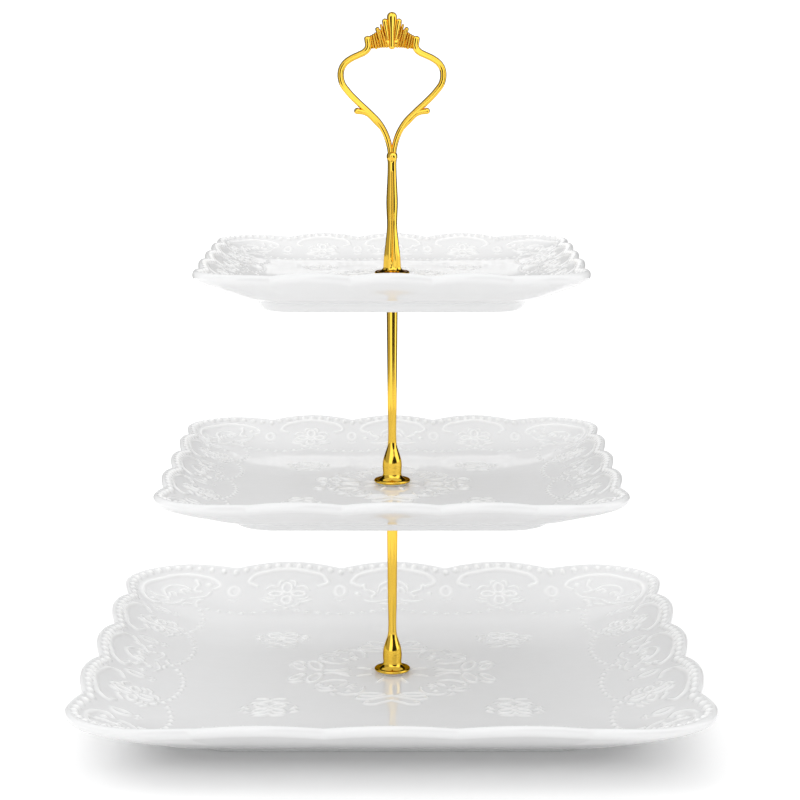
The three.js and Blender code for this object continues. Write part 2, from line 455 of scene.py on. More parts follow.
def outline(sideSteps, cornerSteps):
    # columns: x, y, outward x, outward y, notch depth, drop of the rim
    pitch = scallops["pitch"]
    parts = []
    along = np.arange(sideSteps) / sideSteps * pitch
    depth = notchDepth(np.minimum(along, pitch - along))
    for lobe in range(3):
        x = (lobe - 1.5) * pitch + along
        flat = np.zeros(sideSteps)
        drop = depth * scallops["drop"]
        parts.append(np.stack([x, flat - 1, flat, flat - 1, depth, drop], axis=1))
    total = cornerPlace(np.zeros(1))[4]
    along = np.arange(cornerSteps) / cornerSteps * total
    x, y, nx, ny, total = cornerPlace(along)
    depth = notchDepth(np.minimum(along, total - along))
    drop = depth * scallops["drop"] + (1 - depth) * scallops["cornerDrop"]
    parts.append(np.stack([x, y, nx, ny, depth, drop], axis=1))
    quarter = np.concatenate(parts)
    turned = []
    for c, s in ((1, 0), (0, 1), (-1, 0), (0, -1)):
        q = quarter.copy()
        q[:, 0] = c * quarter[:, 0] - s * quarter[:, 1]
        q[:, 1] = s * quarter[:, 0] + c * quarter[:, 1]
        q[:, 2] = c * quarter[:, 2] - s * quarter[:, 3]
        q[:, 3] = s * quarter[:, 2] + c * quarter[:, 3]
        turned.append(q)
    return np.concatenate(turned)


# The lace is drawn on a map of one quarter of a plate, in shares of its half side.

lace = {
    "cells": 1000,
    "blur": 2.4,  # in cells
    "pearl": 0.0112,
    "pearlInset": 0.0305,
    "pearlsOnSide": 10,
    "pearlsOnCorner": 15,
    "bead": 0.0088,
    "archWidth": 0.0088,
    "line": 0.0062,
}


class LaceMap:
    def __init__(self):
        self.cells = lace["cells"]
        self.height = np.zeros((self.cells + 40, self.cells + 40))

    def dot(self, x, y, radius, height=1.0):
        # a low round bead
        cx = x * self.cells
        cy = y * self.cells
        r = radius * self.cells
        x0 = max(0, int(cx - r))
        y0 = max(0, int(cy - r))
        x1 = min(self.height.shape[1] - 1, int(cx + r) + 1)
        y1 = min(self.height.shape[0] - 1, int(cy + r) + 1)
        if x1 < x0 or y1 < y0:
            return
        gx = (np.arange(x0, x1 + 1) - cx) / r
        gy = (np.arange(y0, y1 + 1) - cy) / r
        d = gx[None, :] ** 2 + gy[:, None] ** 2
        bump = height * np.sqrt(np.maximum(0, 1 - d))
        patch = self.height[y0:y1 + 1, x0:x1 + 1]
        np.maximum(patch, bump, out=patch)

    def line(self, points, width, height=1.0, taper=0.55, swap=False):
        path = curveThrough(points, 0.002)
        t = np.linspace(0, 1, len(path))
        swell = taper + (1 - taper) * np.sin(math.pi * t) ** 0.6
        for (x, y), share in zip(path, swell):
            self.dot(x, y, width * share, height)
            if swap:
                self.dot(y, x, width * share, height)

    def oval(self, x, y, rx, ry, width, height=1.0, pointed=0.0, tilt=0.0, swap=False):
        t = np.linspace(0, 2 * math.pi, max(24, int(260 * (rx + ry) / 0.08)), endpoint=False)
        across = rx * np.cos(t)
        up = ry * np.sin(t) * np.abs(np.sin(t)) ** pointed
        c = math.cos(math.radians(tilt))
        s = math.sin(math.radians(tilt))
        for px, py in zip(x + across * c - up * s, y + across * s + up * c):
            self.dot(px, py, width, height)
            if swap:
                self.dot(py, px, width, height)

    def blurred(self):
        reach = int(3 * lace["blur"]) + 1
        steps = np.arange(-reach, reach + 1)
        weights = np.exp(-0.5 * (steps / lace["blur"]) ** 2)
        weights /= weights.sum()
        h = self.height
        for axis in (0, 1):
            total = np.zeros_like(h)
            for step, weight in zip(steps, weights):
                index = np.abs(np.arange(h.shape[axis]) + step)  # the axes are mirrors
                index = np.minimum(index, h.shape[axis] - 1)
                total += weight * np.take(h, index, axis=axis)
            h = total
        return h


def mirrored(points, centre):
    return [(2 * centre - x, y) for x, y in points]


def drawPearls(m):
    pitch = scallops["pitch"]
    count = lace["pearlsOnSide"]
    for lobe in (1, 2):
        for i in range(count + 1):
            along = i / count * pitch
            depth = float(notchDepth(min(along, pitch - along)))
            x = (lobe - 1.5) * pitch + along
            inset = depth * scallops["depth"] + lace["pearlInset"]
            m.dot(x, 1 - inset, lace["pearl"], 1.6)
            m.dot(1 - inset, x, lace["pearl"], 1.6)
    count = lace["pearlsOnCorner"]
    total = cornerPlace(np.zeros(1))[4]
    for i in range(1, count):
        along = np.array([i / count * total])
        x, y, nx, ny, total = cornerPlace(along)
        depth = notchDepth(np.minimum(along, total - along))
        inset = depth * scallops["depth"] + lace["pearlInset"]
        m.dot(float((x - nx * inset)[0]), float(-(y - ny * inset)[0]), lace["pearl"], 1.6)


def drawArches(m):
    wide = lace["archWidth"]
    half = [(0, 0.957), (0.08, 0.946), (0.143, 0.92), (0.157, 0.897), (0.125, 0.876)]
    m.line([(-x, y) for x, y in half[:0:-1]] + half, wide, 0.9, 0.8, swap=True)
    c = scallops["pitch"]
    arch = [
        (c - 0.115, 0.876), (c - 0.152, 0.897), (c - 0.143, 0.917), (c - 0.075, 0.944),
        (c, 0.955), (c + 0.07, 0.945), (c + 0.135, 0.918), (c + 0.146, 0.897),
        (c + 0.116, 0.877),
    ]
    m.line(arch, wide, 0.9, 0.8, swap=True)
    corner = [
        (0.678, 0.864), (0.655, 0.882), (0.666, 0.904), (0.70, 0.924), (0.75, 0.934),
        (0.82, 0.92), (0.876, 0.876),
    ]
    m.line(corner + [(y, x) for x, y in corner[-2::-1]], wide, 0.9, 0.8)


def drawFlower(m, c):
    line = lace["line"]
    m.oval(c, 0.866, 0.0175, 0.025, line, swap=True)
    m.oval(c, 0.795, 0.018, 0.025, line, swap=True)
    arcs = [
        [(c + 0.012, 0.904), (c + 0.026, 0.898), (c + 0.031, 0.878)],
        [(c + 0.040, 0.872), (c + 0.060, 0.876), (c + 0.082, 0.858)],
        [(c + 0.092, 0.800), (c + 0.070, 0.784), (c + 0.048, 0.784)],
        [(c + 0.082, 0.815), (c + 0.064, 0.801), (c + 0.044, 0.802)],
        [(c + 0.046, 0.775), (c + 0.036, 0.760), (c + 0.018, 0.755)],
    ]
    for side in (1, -1):
        m.oval(c + side * 0.042, 0.833, 0.027, 0.015, line, pointed=0.5, swap=True)
        for arc in arcs:
            m.line(arc if side > 0 else mirrored(arc, c), line, swap=True)


def scrollwork(side):
    # lines and dots of the motif in the middle lobe; heights are counted from its middle
    lines = [
        [(0.112, 0.050), (0.102, 0.026), (0.085, 0.020), (0.066, 0.005), (0.080, -0.012)],
        [(0.112, -0.034), (0.080, -0.046), (0.045, -0.040), (0.012, -0.028)],
        [(0.058, 0.022), (0.048, 0.050), (0.026, 0.066), (0.000, 0.073)],
        [(0.046, 0.012), (0.032, 0.034), (0.014, 0.028), (0.020, 0.012)],
        [(0.050, -0.060), (0.026, -0.058), (0.008, -0.070)],
    ]
    dots = [(0.135, 0.005, 0.012), (0.113, 0.050, 0.0095), (0.080, -0.012, 0.0095)]
    lines = [[(side * x, y) for x, y in line] for line in lines]
    return lines, [(side * x, y, r) for x, y, r in dots]


def drawScrolls(m):
    diagonal = math.sqrt(0.5)
    for side in (1, -1):
        lines, dots = scrollwork(side)
        for line in lines:
            m.line([(x, y + 0.83) for x, y in line], lace["line"], swap=True)
            m.line(
                [(0.79 + (x + y) * diagonal, 0.79 + (y - x) * diagonal) for x, y in line],
                lace["line"],
            )
        for x, y, r in dots:
            m.dot(x, y + 0.83, r)
            m.dot(y + 0.83, x, r)
            m.dot(0.79 + (x + y) * diagonal, 0.79 + (y - x) * diagonal, r)


def drawCameos(m):
    for x in (0.2, 0.6):
        m.oval(x, 0.849, 0.019, 0.028, lace["bead"], 0.6, swap=True)
        for dx, y in ((-0.014, 0.797), (0, 0.788), (0.014, 0.797)):
            m.dot(x + dx, y, 0.006)
            m.dot(y, x + dx, 0.006)


def drawFestoons(m):
    runs = [
        [(0, 0.748), (0.05, 0.722), (0.12, 0.702), (0.2, 0.694), (0.28, 0.701),
         (0.35, 0.717), (0.4, 0.737)],
        [(0.4, 0.737), (0.45, 0.717), (0.52, 0.701), (0.6, 0.697), (0.67, 0.708),
         (0.73, 0.73)],
    ]
    for run, count in zip(runs, (10, 8)):
        path = curveThrough(run, 0.001)
        for i in range(count + 1):
            x, y = path[int(round(i / count * (len(path) - 1)))]
            m.dot(x, y, lace["bead"])
            m.dot(y, x, lace["bead"])


def drawButterfly(m):
    cx, cy = 0.395, 0.39
    line = lace["line"]
    strokes = [
        [(0.045, 0.080), (0.015, 0.082), (0, 0.055)],
        [(0.052, 0.066), (0.034, 0.062), (0.018, 0.052)],
        [(0.060, -0.045), (0.022, -0.050), (0, -0.070)],
        [(0.048, -0.088), (0.015, -0.086), (0, -0.073)],
        [(0.070, 0.052), (0.088, 0.040), (0.080, 0.020)],
        [(0.068, 0.018), (0.085, 0.004), (0.078, -0.014)],
    ]
    for side in (1, -1):
        m.oval(cx + side * 0.028, cy + 0.037, 0.026, 0.017, line, pointed=0.2, tilt=side * 35)
        m.oval(cx + side * 0.028, cy - 0.014, 0.026, 0.017, line, pointed=0.2, tilt=-side * 35)
        for stroke in strokes:
            m.line([(cx + side * x, cy + y) for x, y in stroke], line)
    m.dot(cx, cy + 0.011, 0.008)


def drawMedallion(m):
    line = lace["line"]
    m.oval(0.070, 0.255, 0.045, 0.018, line, pointed=0.3)
    m.oval(0.322, 0.060, 0.040, 0.015, line, pointed=0.3, tilt=60)
    m.oval(0.262, 0.070, 0.052, 0.020, line, pointed=0.3, tilt=75)
    strokes = [
        [(0.000, 0.262), (0.040, 0.287), (0.085, 0.308), (0.115, 0.295), (0.110, 0.270)],
        [(0.000, 0.312), (0.035, 0.340), (0.060, 0.360), (0.085, 0.355), (0.090, 0.340),
         (0.075, 0.325)],
        [(0.150, 0.022), (0.185, 0.012), (0.230, 0.018)],
        [(0.145, 0.050), (0.170, 0.030), (0.205, 0.010)],
        [(0.095, 0.170), (0.100, 0.220), (0.125, 0.250), (0.155, 0.255), (0.180, 0.235)],
        [(0.120, 0.165), (0.138, 0.172), (0.130, 0.190)],
        [(0.155, 0.100), (0.190, 0.095), (0.225, 0.110), (0.245, 0.135), (0.235, 0.155)],
        [(0.250, 0.140), (0.240, 0.172), (0.205, 0.188)],
        [(0.252, 0.190), (0.230, 0.212), (0.200, 0.207)],
        [(0.188, 0.260), (0.205, 0.235)],
        [(0.150, 0.130), (0.175, 0.155)],
        [(0.125, 0.140), (0.150, 0.170)],
        [(0.300, 0.105), (0.330, 0.120), (0.345, 0.105)],
    ]
    for stroke in strokes:
        m.line(stroke, line)
    for x, y, r in ((0.145, 0.215, 0.010), (0.205, 0.160, 0.008), (0.190, 0.200, 0.008)):
        m.dot(x, y, r)
    for degrees in (22.5, 67.5):
        c = math.cos(math.radians(degrees))
        s = math.sin(math.radians(degrees))
        m.line([(0.078 * c, 0.078 * s), (0.105 * c, 0.105 * s), (0.130 * c, 0.130 * s)], line)


def makeLace():
    m = LaceMap()
    drawPearls(m)
    drawArches(m)
    drawFlower(m, scallops["pitch"])
    drawScrolls(m)
    drawCameos(m)
    drawFestoons(m)
    drawButterfly(m)
    drawMedallion(m)
    return m.blurred()


def sampled(height, x, y):
    gx = np.clip(np.abs(x) * lace["cells"], 0, height.shape[1] - 2)
    gy = np.clip(np.abs(y) * lace["cells"], 0, height.shape[0] - 2)
    ix = gx.astype(int)
    iy = gy.astype(int)
    fx = gx - ix
    fy = gy - iy
    low = height[iy, ix] * (1 - fx) + height[iy, ix + 1] * fx
    high = height[iy + 1, ix] * (1 - fx) + height[iy + 1, ix + 1] * fx
    return low * (1 - fy) + high * fy


def smoothStep(value, start, end):
    t = np.clip((value - start) / (end - start), 0, 1)
    return t * t * (3 - 2 * t)


def plateProfile(p, half, rim):
    # underside from the hole out, round the rim, and back over the wall and the floor
    s = plateShape
    lastUnder = 1 - s["lipInset"] / half
    firstUnder = p["footAt"] + s["footSpread"]

    def under(at):
        along = (at - firstUnder) / (lastUnder - firstUnder)
        return (at * half, p["foot"] + (rim - s["lip"] - p["foot"]) * along ** s["underPower"])

    def wall(at):
        along = (at - s["floorEdge"]) / (s["wallEdge"] - s["floorEdge"])
        return (at * half, p["floor"] + (rim - p["floor"]) * max(0, along) ** s["wallPower"])

    footInner = p["footAt"] - s["footWidth"]
    below = p["floor"] - p["thick"]
    bottomSide = [
        (s["hole"], below),
        ((footInner - s["footSpread"]) * half, below),
        (footInner * half, 0),
        (p["footAt"] * half, 0),
        (firstUnder * half, p["foot"]),
    ]
    bottomSide += [under(at) for at in (0.72, 0.76, 0.80, 0.84, 0.88, 0.92, 0.95, 0.972)]
    edge = [
        (half - 1.2, rim - 4.9), (half, rim - 3.4), (half, rim - 1.1), (half - 1.1, rim),
        (s["wallEdge"] * half, rim),
    ]
    topSide = [wall(at) for at in (0.972, 0.955, 0.93, 0.90, 0.87, 0.84, 0.80, 0.76,
                                   0.72, 0.68, 0.64, 0.60, 0.56, 0.53, 0.50)]
    topSide.append((s["hole"], p["floor"]))
    curve = np.array(softened(bottomSide + edge + topSide, 2.2, passes=3))
    return curve, int(np.argmax(curve[:, 1]))


def chosen(table, share):
    for start, value in table:
        if share >= start:
            return value


def walkRows(curve, peak, half):
    # rows of points along the profile, closer together where there is more to show
    lengths = np.linalg.norm(np.diff(curve, axis=0), axis=1)
    at = np.concatenate([[0], np.cumsum(lengths)])
    scale = 0.55 + 0.45 * half / 153.5
    rows = []
    where = 0.0
    while where < at[-1]:
        r = np.interp(where, at, curve[:, 0])
        z = np.interp(where, at, curve[:, 1])
        share = r / half
        onTop = where > at[peak]
        side = "top" if onTop else "under"
        rows.append((r, z, onTop, chosen(plateRows[side + "Thinning"], share)))
        where += chosen(plateRows[side + "Steps"], share) * scale
    rows.append((curve[-1][0], curve[-1][1], True, 4))
    return rows


def plateMesh(p, half, rim, lift, height):
    curve, peak = plateProfile(p, half, rim)
    rows = walkRows(curve, peak, half)
    around = outline(p["sideSteps"], p["cornerSteps"])
    radii = np.array([row[0] for row in rows])
    levels = np.array([row[1] for row in rows])
    run = np.gradient(radii)
    slopes = np.gradient(levels) / np.where(np.abs(run) < 1e-6, 1e-6, run)
    points = []
    relief = []
    starts = []
    count = 0
    for (r, z, onTop, thinning), slope in zip(rows, slopes):
        o = around[::thinning]
        share = r / half
        reach = smoothStep(share, 0.80, 0.985) if onTop else smoothStep(share, 0.84, 0.985)
        square = smoothStep(r, plateShape["hole"], 24)
        scale = r * (square + (1 - square) / np.hypot(o[:, 0], o[:, 1]))
        inset = half * o[:, 4] * scallops["depth"] * reach
        x = o[:, 0] * scale - o[:, 2] * inset
        y = o[:, 1] * scale - o[:, 3] * inset
        level = z - half * o[:, 5] * reach
        bump = np.zeros(len(o))
        if onTop:
            bump = sampled(height, x / half, y / half)
            steep = min(max(slope, 0), 1.5)
            lean = steep / math.hypot(1, steep)
            x = x - o[:, 2] * lean * bump * p["relief"]
            y = y - o[:, 3] * lean * bump * p["relief"]
            level = level + bump * p["relief"] / math.hypot(1, steep)
        points.append(np.stack([x, y, level + lift], axis=1))
        relief.append(bump)
        starts.append((count, len(o)))
        count += len(o)
    faces = []
    starts.append(starts[0])
    for (a, n), (b, m) in zip(starts, starts[1:]):
        i = np.arange(min(n, m))
        j = (i + 1) % min(n, m)
        if n == m:
            faces += np.stack([a + i, a + j, b + j, b + i], axis=1).tolist()
        elif n == 2 * m:
            faces += np.stack([a + 2 * i, a + 2 * i + 1, a + 2 * j, b + j, b + i], axis=1).tolist()
        else:
            faces += np.stack([a + i, a + j, b + 2 * j, b + 2 * i + 1, b + 2 * i], axis=1).tolist()
    return np.concatenate(points), faces, np.clip(np.concatenate(relief), 0, 1)


laceHeight = makeLace()
print("lace map drawn")

for name, p in plates.items():
    low, high = nodeBox(f"{name}_plate")
    half = float(high[0])
    points, faces, relief = plateMesh(p, half, float(high[2] - low[2]), float(low[2]), laceHeight)
    makePiece(
        f"{name}_plate_porcelain", points, faces, p["body"], f"{name}_plate", "porcelain",
        {"relief": relief},
    )
    print(f"{name} plate: {len(faces)} faces")


rings = {
    "washerOuter": 8.0,
    "washerInner": 2.4,
    "padOuter": 7.6,
    "padInner": 2.6,
    "sides": 128,
}


def ringMesh(inner, outer, low, high, edge):
    middle = (low + high) / 2
    inside = inner + (outer - inner) / 2
    loop = [
        (inside, low), (outer, low), (outer, middle), (outer, high), (inside, high),
        (inner, high), (inner, middle), (inner, low), (inside, low),
    ]
    loop = softened(loop, edge, passes=3)
    return spin(loop[:-1], rings["sides"], closed=True)


clampBodies = {"bottom": "base_clamp", "middle": "lower_stem", "top": "upper_stem"}
liftBodies = {"bottom": "lower_lift", "middle": "upper_lift", "top": "handle_lift"}
for name in plates:
    low, high = nodeBox(f"{name}_washer")
    points, faces = ringMesh(rings["washerInner"], rings["washerOuter"], low[2], high[2], 0.3)
    makePiece(
        f"{name}_washer_gold", points, faces, clampBodies[name], f"{name}_washer", "gold"
    )
    for place, body in (("lower", clampBodies[name]), ("upper", liftBodies[name])):
        node = f"{name}_{place}_pad"
        low, high = nodeBox(node)
        spare = gap - hair
        points, faces = ringMesh(
            rings["padInner"], rings["padOuter"], low[2] - spare, high[2] + spare, 0.35
        )
        makePiece(f"{node}_silicone", points, faces, body, node, "soft_pad")
print("washers and soft pads made")


thread = {
    "radius": 2.0,
    "depth": 0.32,
    "pitch": 0.7,
    "perPitch": 10,
    "sides": 64,
    "tang": 1.5,
    "tangLength": 6.0,
}


def threaded(low, high, leadIn):
    # a function for spin: the ridge winds up between low and high and fades at the ends
    def reshape(radius, height, turn):
        if height < low or height > high or radius < 1.6:
            return np.full(len(turn), float(radius))
        winding = (height / thread["pitch"] - turn / (2 * math.pi)) % 1
        ridge = np.clip(1.25 - 2.5 * np.abs(winding - 0.5), 0, 1)
        fade = min((height - low) / leadIn, (high - height) / leadIn, 1)
        return radius - thread["depth"] * (1 - ridge) * max(fade, 0)
    return reshape


def threadRows(low, high, radius):
    count = int((high - low) / thread["pitch"] * thread["perPitch"])
    return [(radius, z) for z in np.linspace(low, high, count + 1)]


def studMesh(low, high):
    shoulder = low + thread["tangLength"] + gap
    top = high - 0.45
    profile = [(0, low), (thread["tang"] - 0.2, low), (thread["tang"], low + 0.2)]
    profile += [(thread["tang"], z) for z in np.linspace(low + 0.4, shoulder - 0.1, 6)]
    profile += [(thread["radius"], shoulder)]
    profile += threadRows(shoulder + 0.1, top, thread["radius"])
    profile += [(thread["radius"] - 0.25, high - 0.18), (1.5, high), (0, high)]
    return spin(profile, thread["sides"], threaded(shoulder, top + 0.01, 1.2))


for name, body in (("lower", "lower_stem"), ("upper", "upper_stem")):
    low, high = nodeBox(f"{name}_stud")
    points, faces = studMesh(low[2], high[2])
    makePiece(f"{name}_stud_steel", points, faces, body, f"{name}_stud", "steel")
print("threaded studs made")


screw = {
    "headRadius": 4.6,
    "headThick": 1.8,
    "socketAcross": 2.5,  # across the flats of the six-sided socket in its head
    "socketDeep": 1.3,
}


def screwMesh(low, high):
    top = high - 0.45
    head = low + screw["headThick"]
    r = screw["headRadius"]
    flat = screw["socketAcross"] / 2
    corner = flat / math.cos(math.pi / 6)
    profile = [(0, low + screw["socketDeep"] + 0.25), (flat * 0.5, low + screw["socketDeep"] + 0.1)]
    socket = [(corner, low + screw["socketDeep"]), (corner, low + 0.35), (corner + 0.2, low + 0.05)]
    profile += socket
    profile += softened([
        (corner + 0.4, low), (r - 0.5, low), (r, low + 0.5), (r, head), (2.2, head),
    ], 0.2)
    profile += [(thread["radius"], head + 0.15)]
    profile += threadRows(head + 0.2, top, thread["radius"])
    profile += [(thread["radius"] - 0.25, high - 0.18), (1.5, high), (0, high)]
    wind = threaded(head + 0.6, top + 0.01, 1.0)

    def reshape(radius, height, turn):
        if height <= low + screw["socketDeep"] and radius < corner + 0.01:
            wrapped = (turn + math.pi / 6) % (math.pi / 3) - math.pi / 6
            return radius / corner * flat / np.cos(wrapped)
        return wind(radius, height, turn)

    return spin(profile, 96, reshape)


low, high = nodeBox("base_screw")
points, faces = screwMesh(low[2], high[2])
makePiece("base_screw_steel", points, faces, "base_clamp", "base_screw", "steel")
print("base screw made")


# Heights along a rod are counted from the underside of its flange.

rod = {
    "flange": 9.3,
    "bore": 2.3,
    "boreDeep": 10.0,
    "neck": 2.1,
    "topRadius": 2.9,
    "tangBore": 1.8,
    "tangDeep": 6.3,
    "sides": 128,
}


def rodMesh(low, high):
    length = high - low
    r = rod["flange"]
    inside = [(0, rod["boreDeep"]), (rod["bore"], rod["boreDeep"]), (rod["bore"], 0.3),
              (rod["bore"] + 0.3, 0), (r - 0.6, 0), (r, 0.5), (r, 1.15), (r - 0.5, 1.6),
              (r - 1.3, 1.45), (7.2, 1.3)]
    foot = [
        (7.2, 1.3), (6.2, 1.9), (5.2, 2.9), (4.7, 4.2), (4.78, 5.8), (4.9, 7.5), (4.88, 9),
        (4.75, 10.5), (4.5, 12), (4.1, 13.5), (3.6, 15), (3.1, 16.5), (2.7, 17.7), (2.38, 19),
        (2.18, 20.5), (rod["neck"], 22.5),
    ]
    swell = rod["topRadius"] - 0.15 - rod["neck"]
    for share in (0.4, 0.55, 0.7, 0.86):
        foot.append((rod["neck"] + swell * (share - 0.2) / 0.66, length * share))
    foot.append((rod["topRadius"], length - 0.6))
    end = [
        (rod["topRadius"], length - 0.35), (rod["topRadius"] - 0.3, length),
        (rod["tangBore"] + 0.15, length), (rod["tangBore"], length - 0.2),
        (rod["tangBore"], length - rod["tangDeep"]), (0, length - rod["tangDeep"]),
    ]
    profile = softened(inside, 0.25)[:-1]
    profile += list(curveThrough(foot, 0.35))
    profile += softened(end, 0.15)
    points, faces = spin(profile, rod["sides"])
    points[:, 2] += low
    return points, faces


for name, body in (("lower", "lower_stem"), ("upper", "upper_stem")):
    low, high = nodeBox(f"{name}_rod")
    points, faces = rodMesh(low[2], high[2])
    makePiece(f"{name}_rod_gold", points, faces, body, f"{name}_rod", "gold")
print("rods made")


# The stem is turned; the loop and the crown are built up from bars that run into each other.

handleStem = {
    "flange": 8.8,
    "flutes": 8,
    "fluteDeep": 0.13,  # at the foot
    "fluteFrom": 1.7,
    "fluteTo": 26,
    "creaseDeep": 0.17,
    "creaseWide": 0.26,  # in radians each side of the middle of its front and back
    "creaseFrom": 3.5,
    "creaseTo": 60,
    "beadFrom": 61,  # above this it stays round
    "sides": 144,
}

handleLoop = {
    "groove": 0.3,  # down the arms, as a share of their half thickness
    "backing": 0.9,
}


def stemShape(radius, height, turn):
    # flutes on the flared foot, and a crease up the front and the back above it
    h = handleStem
    if radius < 2.25 or height < h["fluteFrom"] or height > h["beadFrom"]:
        return np.full(len(turn), float(radius))
    fade = min(1, (height - h["fluteFrom"]) / 0.8)
    deep = h["fluteDeep"] * max(0, 1 - height / h["fluteTo"]) * fade
    flutes = 1 - deep * (0.5 + 0.5 * np.cos(h["flutes"] * turn))
    off = np.abs((turn % math.pi) - math.pi / 2)
    crease = np.maximum(0, 1 - off / h["creaseWide"]) ** 1.5
    start = min(1, max(0, (height - h["creaseFrom"]) / 4))
    stop = min(1, max(0, (h["creaseTo"] - height) / 1.5))
    return radius * flutes * (1 - h["creaseDeep"] * start * stop * crease)


def stemMesh():
    r = handleStem["flange"]
    inside = [(0, 10), (2.3, 10), (2.3, 0.3), (2.6, 0), (r - 0.6, 0), (r, 0.45), (r, 1.1),
              (r - 0.5, 1.6), (r - 1.4, 1.5), (6.6, 1.6)]
    outside = [
        (6.6, 1.6), (5.6, 2.1), (5.0, 2.7), (4.75, 3.3), (4.66, 4.6), (4.55, 6.5), (4.35, 9),
        (4.05, 11.5), (3.7, 14), (3.4, 16.5), (3.08, 19), (2.8, 21.5), (2.62, 24), (2.58, 26.5),
        (2.66, 29), (2.8, 32), (2.9, 35), (2.88, 38), (2.75, 41), (2.6, 44), (2.42, 47.5),
        (2.28, 51), (2.22, 54), (2.25, 56.6), (2.42, 57.8), (2.68, 58.6), (2.72, 59.3),
        (2.66, 60), (2.4, 60.7), (2.05, 61.2), (1.3, 61.6), (0, 61.7),
    ]
    profile = softened(inside, 0.25)[:-1] + list(curveThrough(outside, 0.3))
    profile[-1] = (0, profile[-1][1])
    return spin(profile, handleStem["sides"], stemShape)


def rounded(path, wide):
    # how far a bar is drawn in towards its two ends, so that they come out round
    lengths = np.linalg.norm(np.diff(path, axis=0), axis=1)
    at = np.concatenate([[0], np.cumsum(lengths)])
    spare = np.minimum(at, at[-1] - at)
    cap = np.sqrt(np.clip(1 - (1 - spare / wide) ** 2, 0.0004, 1))
    return np.where(spare > wide, 1, cap)


def armBars(side):
    # each arm ends upright, as the outermost lobes of the crown
    route = [
        (0.95, 276.5), (1.0, 281), (1.9, 285.5), (3.6, 290), (6.7, 295), (11.6, 300),
        (17, 305), (21.8, 310), (24.9, 314.5), (25.6, 318.5), (25.1, 321.5), (23.6, 324),
        (20.2, 326.6), (16.6, 328.3), (13.9, 329.6), (12.3, 331.1), (11.7, 332.9),
        (11.9, 334.9), (12.35, 337.7),
    ]
    path = curveThrough([(side * x, 0, z) for x, z in route], 0.35)
    t = np.linspace(0, 1, len(path))
    across = np.interp(t, [0, 0.1, 0.4, 0.7, 0.84, 0.92, 1], [1.2, 1.45, 1.6, 1.6, 1.6, 1.7, 1.8])
    deep = np.interp(t, [0, 0.1, 0.4, 0.8, 0.9, 1], [1.6, 1.75, 1.75, 1.7, 1.6, 1.5])
    cap = rounded(path, 1.3)
    bars = [sweep(path, across * cap, deep * cap, 32, handleLoop["groove"])]
    bars.append(hookBar(side))
    bars.append(ballMesh(side * 17.25, 0, 300.6, 1.75, 1.6, 1.6))
    return bars


def hookBar(side):
    # the small leaf that curls off the underside of an arm
    route = [(5.4, 292.0), (8.8, 296.1), (11.8, 299.0), (14.6, 300.2), (17.2, 300.5)]
    path = curveThrough([(side * x, 0, z) for x, z in route], 0.4)
    t = np.linspace(0, 1, len(path))
    thick = np.interp(t, [0, 0.3, 0.7, 1], [0.9, 1.35, 1.4, 1.5])
    return sweep(path, thick, thick * 1.05, 20)


def ballMesh(x, y, z, rx, ry, rz):
    t = np.linspace(-math.pi / 2, math.pi / 2, 13)
    points, faces = spin([(max(0, math.cos(a)), math.sin(a)) for a in t], 24)
    points = points * np.array([rx, ry, rz]) + np.array([x, y, z])
    return points, faces


def ribBar(base, tip, widths, deep, groove):
    start = np.array([base[0], 0, base[1]], float)
    end = np.array([tip[0], 0, tip[1]], float)
    t = np.linspace(0, 1, 48)
    path = start + (end - start) * t[:, None]
    wide = np.interp(t, np.linspace(0, 1, len(widths)), widths)
    cap = rounded(path, wide)
    return sweep(path, wide * cap, deep * (0.75 + 0.25 * t) * cap, 24, groove)


crownRibs = [  # foot, tip, half widths from the foot up, half thickness, groove down the front
    ((0, 331.0), (0, 349.45), (1.9, 1.5, 1.4, 1.55, 2.2, 2.55, 2.5), 2.1, 0.42),
    ((1.9, 335.5), (3.75, 346.2), (0.7, 1.2, 1.5, 1.45), 1.65, 0.35),
    ((3.1, 332.5), (5.6, 343.5), (0.5, 0.62, 0.6), 1.1, 0),
    ((2.5, 331.7), (4.9, 340.2), (0.56, 0.6, 0.62), 1.5, 0),
    ((3.75, 331.7), (6.35, 340.9), (0.56, 0.62, 0.7), 1.6, 0),
    ((5.05, 331.6), (7.5, 342.0), (0.56, 0.66, 0.95, 1.15), 1.8, 0),
    ((6.35, 331.4), (8.45, 339.4), (0.56, 0.6, 0.62), 1.45, 0),
    ((7.7, 331.0), (9.4, 338.7), (0.66, 0.7, 0.74), 1.65, 0),
    ((9.0, 331.3), (10.5, 338.1), (0.55, 0.58, 0.62), 1.35, 0),
]


def backingMesh():
    half = [
        (0, 347.0), (1.6, 346.4), (2.2, 345.0), (3.9, 344.2), (4.6, 342.4), (5.5, 340.8),
        (7.1, 340.0), (8.0, 338.4), (9.4, 336.8), (10.8, 336.2), (12.0, 335.6), (12.4, 333),
        (12.0, 331.6), (10.6, 331.2), (8.8, 331.6), (7.4, 331.7), (5.0, 332), (0, 332),
    ]
    loop = half + [(-x, z) for x, z in half[-2:0:-1]]
    y = handleLoop["backing"] / 2
    points = np.array([(x, -y, z) for x, z in loop] + [(x, y, z) for x, z in loop])
    n = len(loop)
    faces = [list(range(n)), list(range(2 * n - 1, n - 1, -1))]
    faces += [[i, i + n, (i + 1) % n + n, (i + 1) % n] for i in range(n)]
    return points, faces


def handleMesh(lift):
    parts = armBars(1) + armBars(-1) + [backingMesh()]
    for base, tip, widths, deep, groove in crownRibs:
        for side in ((1, -1) if base[0] else (1,)):
            foot = (side * base[0], base[1])
            end = (side * tip[0], tip[1])
            parts.append(ribBar(foot, end, widths, deep, groove))
    stem = stemMesh()
    stem[0][:, 2] += lift
    return joined([stem] + parts)


